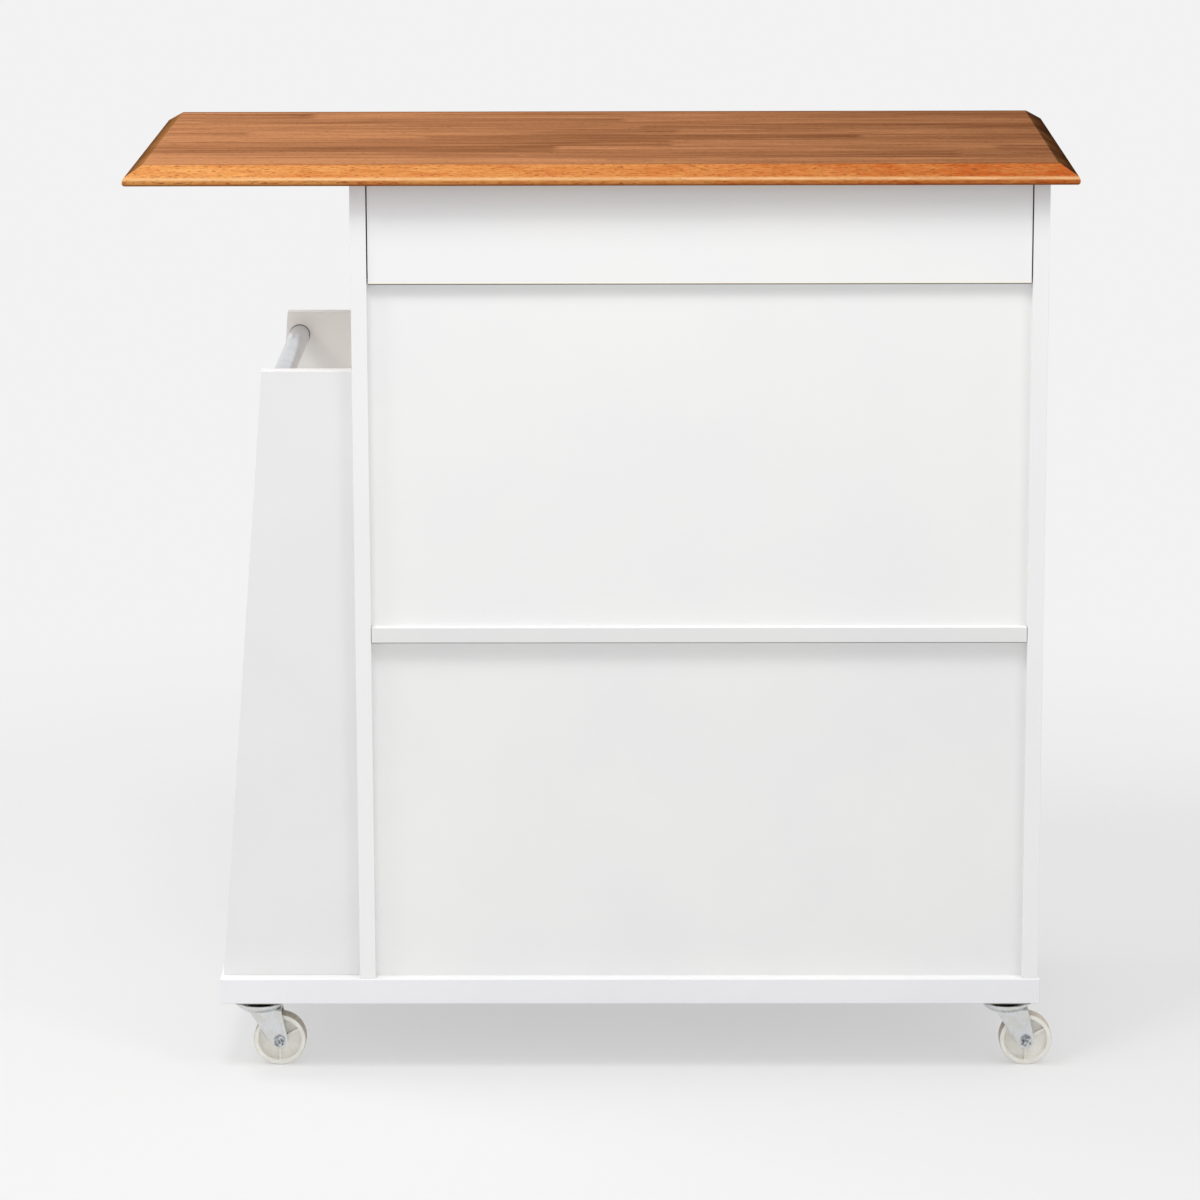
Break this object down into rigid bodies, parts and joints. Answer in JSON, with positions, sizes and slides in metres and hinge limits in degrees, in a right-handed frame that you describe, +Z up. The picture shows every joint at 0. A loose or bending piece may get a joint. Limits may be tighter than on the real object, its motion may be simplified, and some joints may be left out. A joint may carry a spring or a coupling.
{
  "type": "kitchen island cart",
  "caption": "Rolling kitchen island cart: butcher block top over a white cabinet with drawers, doors, an end rack with towel bar, and swivel casters.",
  "frame": {"origin": "on the floor under the middle of the butcher block top", "axes": "+Z up, -Y to the front with the drawers and doors, +X to the end with the rack and towel bar"},
  "size_m": [0.89, 0.45, 0.8855],
  "materials": {
    "butcher_block": "oiled, edge-glued staves",
    "white_board": "white satin lacquer on fibreboard",
    "white_hardboard": "white faced thin hardboard",
    "plain_wood": "plain clear-coated wood",
    "satin_metal": "satin",
    "zinc_steel": "bright zinc plate",
    "cream_nylon": "moulded nylon, satin",
    "white_plastic": "moulded, matte"
  },
  "bodies": {
    "cabinet": {"butcher_block_top": "butcher_block", "rack_shelf_lower": "white_board", "rack_shelf_upper": "white_board", "towel_bar": "satin_metal", "rack_guard_bars": "satin_metal", "carcass_dowels": "plain_wood", "left_side_panel": "white_board", "right_side_panel": "white_board", "middle_shelf": "white_board", "back_rail": "white_board", "drawer_deck": "white_board", "front_stretcher": "white_board", "drawer_divider": "white_board", "upper_back_panel": "white_hardboard", "lower_back_panel": "white_hardboard", "rack_rear_board": "white_board", "rack_front_board": "white_board", "cabinet_runners_left": "zinc_steel", "cabinet_runners_right": "zinc_steel", "hinge_frame_leaves": "zinc_steel", "hinge_pins": "zinc_steel", "door_catches": "white_plastic", "caster_plates": "zinc_steel", "caster_kingpins": "zinc_steel", "caster_ball_rings": "zinc_steel", "caster_screws": "zinc_steel", "base_board": "white_board"},
    "left_drawer": {"drawer_front_left": "white_board", "drawer_box_left": "plain_wood", "drawer_bottom_left": "plain_wood", "drawer_runners_left": "zinc_steel", "drawer_pull_left": "satin_metal"},
    "left_door": {"door_left": "white_board", "door_pull_left": "satin_metal", "door_hinge_leaves_left": "zinc_steel", "door_strike_left": "zinc_steel"},
    "right_drawer": {"drawer_front_right": "white_board", "drawer_box_right": "plain_wood", "drawer_bottom_right": "plain_wood", "drawer_runners_right": "zinc_steel", "drawer_pull_right": "satin_metal"},
    "right_door": {"door_right": "white_board", "door_pull_right": "satin_metal", "door_hinge_leaves_right": "zinc_steel", "door_strike_right": "zinc_steel"},
    "swivel_front_left": {"caster_fork_front_left": "zinc_steel", "caster_axle_front_left": "zinc_steel"},
    "wheel_front_left": {"caster_wheel_front_left": "cream_nylon"},
    "swivel_front_right": {"caster_fork_front_right": "zinc_steel", "caster_axle_front_right": "zinc_steel"},
    "wheel_front_right": {"caster_wheel_front_right": "cream_nylon"},
    "swivel_rear_left": {"caster_fork_rear_left": "zinc_steel", "caster_axle_rear_left": "zinc_steel"},
    "wheel_rear_left": {"caster_wheel_rear_left": "cream_nylon"},
    "swivel_rear_right": {"caster_fork_rear_right": "zinc_steel", "caster_axle_rear_right": "zinc_steel"},
    "wheel_rear_right": {"caster_wheel_rear_right": "cream_nylon"},
    "brake_left": {"brake_pedal_left": "zinc_steel"},
    "brake_right": {"brake_pedal_right": "zinc_steel"}
  },
  "joints": [
    {"name": "left_drawer_slide", "type": "slide", "parent": "cabinet", "child": "left_drawer", "axis": [0, -1, 0], "range_m": [0, 0.24]},
    {"name": "right_drawer_slide", "type": "slide", "parent": "cabinet", "child": "right_drawer", "axis": [0, -1, 0], "range_m": [0, 0.24]},
    {"name": "left_door_hinge", "type": "hinge", "parent": "cabinet", "child": "left_door", "pos_m": [-0.4028, -0.1893, 0.097], "axis": [0, 0, -1], "range_deg": [0, 110]},
    {"name": "right_door_hinge", "type": "hinge", "parent": "cabinet", "child": "right_door", "pos_m": [0.2188, -0.1893, 0.097], "axis": [0, 0, 1], "range_deg": [0, 110]},
    {"name": "swivel_front_left_turn", "type": "hinge", "parent": "cabinet", "child": "swivel_front_left", "pos_m": [-0.3915, -0.1525, 0.07], "axis": [0, 0, 1], "continuous": true},
    {"name": "wheel_front_left_spin", "type": "hinge", "parent": "swivel_front_left", "child": "wheel_front_left", "pos_m": [-0.4105, -0.1525, 0.0254], "axis": [0, 1, 0], "continuous": true},
    {"name": "brake_left_press", "type": "hinge", "parent": "swivel_front_left", "child": "brake_left", "pos_m": [-0.42346, -0.1525, 0.05345], "axis": [0, -1, 0], "range_deg": [0, 12]},
    {"name": "swivel_front_right_turn", "type": "hinge", "parent": "cabinet", "child": "swivel_front_right", "pos_m": [0.3345, -0.1525, 0.07], "axis": [0, 0, 1], "continuous": true},
    {"name": "wheel_front_right_spin", "type": "hinge", "parent": "swivel_front_right", "child": "wheel_front_right", "pos_m": [0.3155, -0.1525, 0.0254], "axis": [0, 1, 0], "continuous": true},
    {"name": "brake_right_press", "type": "hinge", "parent": "swivel_front_right", "child": "brake_right", "pos_m": [0.30254, -0.1525, 0.05345], "axis": [0, -1, 0], "range_deg": [0, 12]},
    {"name": "swivel_rear_left_turn", "type": "hinge", "parent": "cabinet", "child": "swivel_rear_left", "pos_m": [-0.3915, 0.1715, 0.07], "axis": [0, 0, 1], "continuous": true},
    {"name": "wheel_rear_left_spin", "type": "hinge", "parent": "swivel_rear_left", "child": "wheel_rear_left", "pos_m": [-0.4105, 0.1715, 0.0254], "axis": [0, 1, 0], "continuous": true},
    {"name": "swivel_rear_right_turn", "type": "hinge", "parent": "cabinet", "child": "swivel_rear_right", "pos_m": [0.3345, 0.1715, 0.07], "axis": [0, 0, 1], "continuous": true},
    {"name": "wheel_rear_right_spin", "type": "hinge", "parent": "swivel_rear_right", "child": "wheel_rear_right", "pos_m": [0.3155, 0.1715, 0.0254], "axis": [0, 1, 0], "continuous": true}
  ]
}
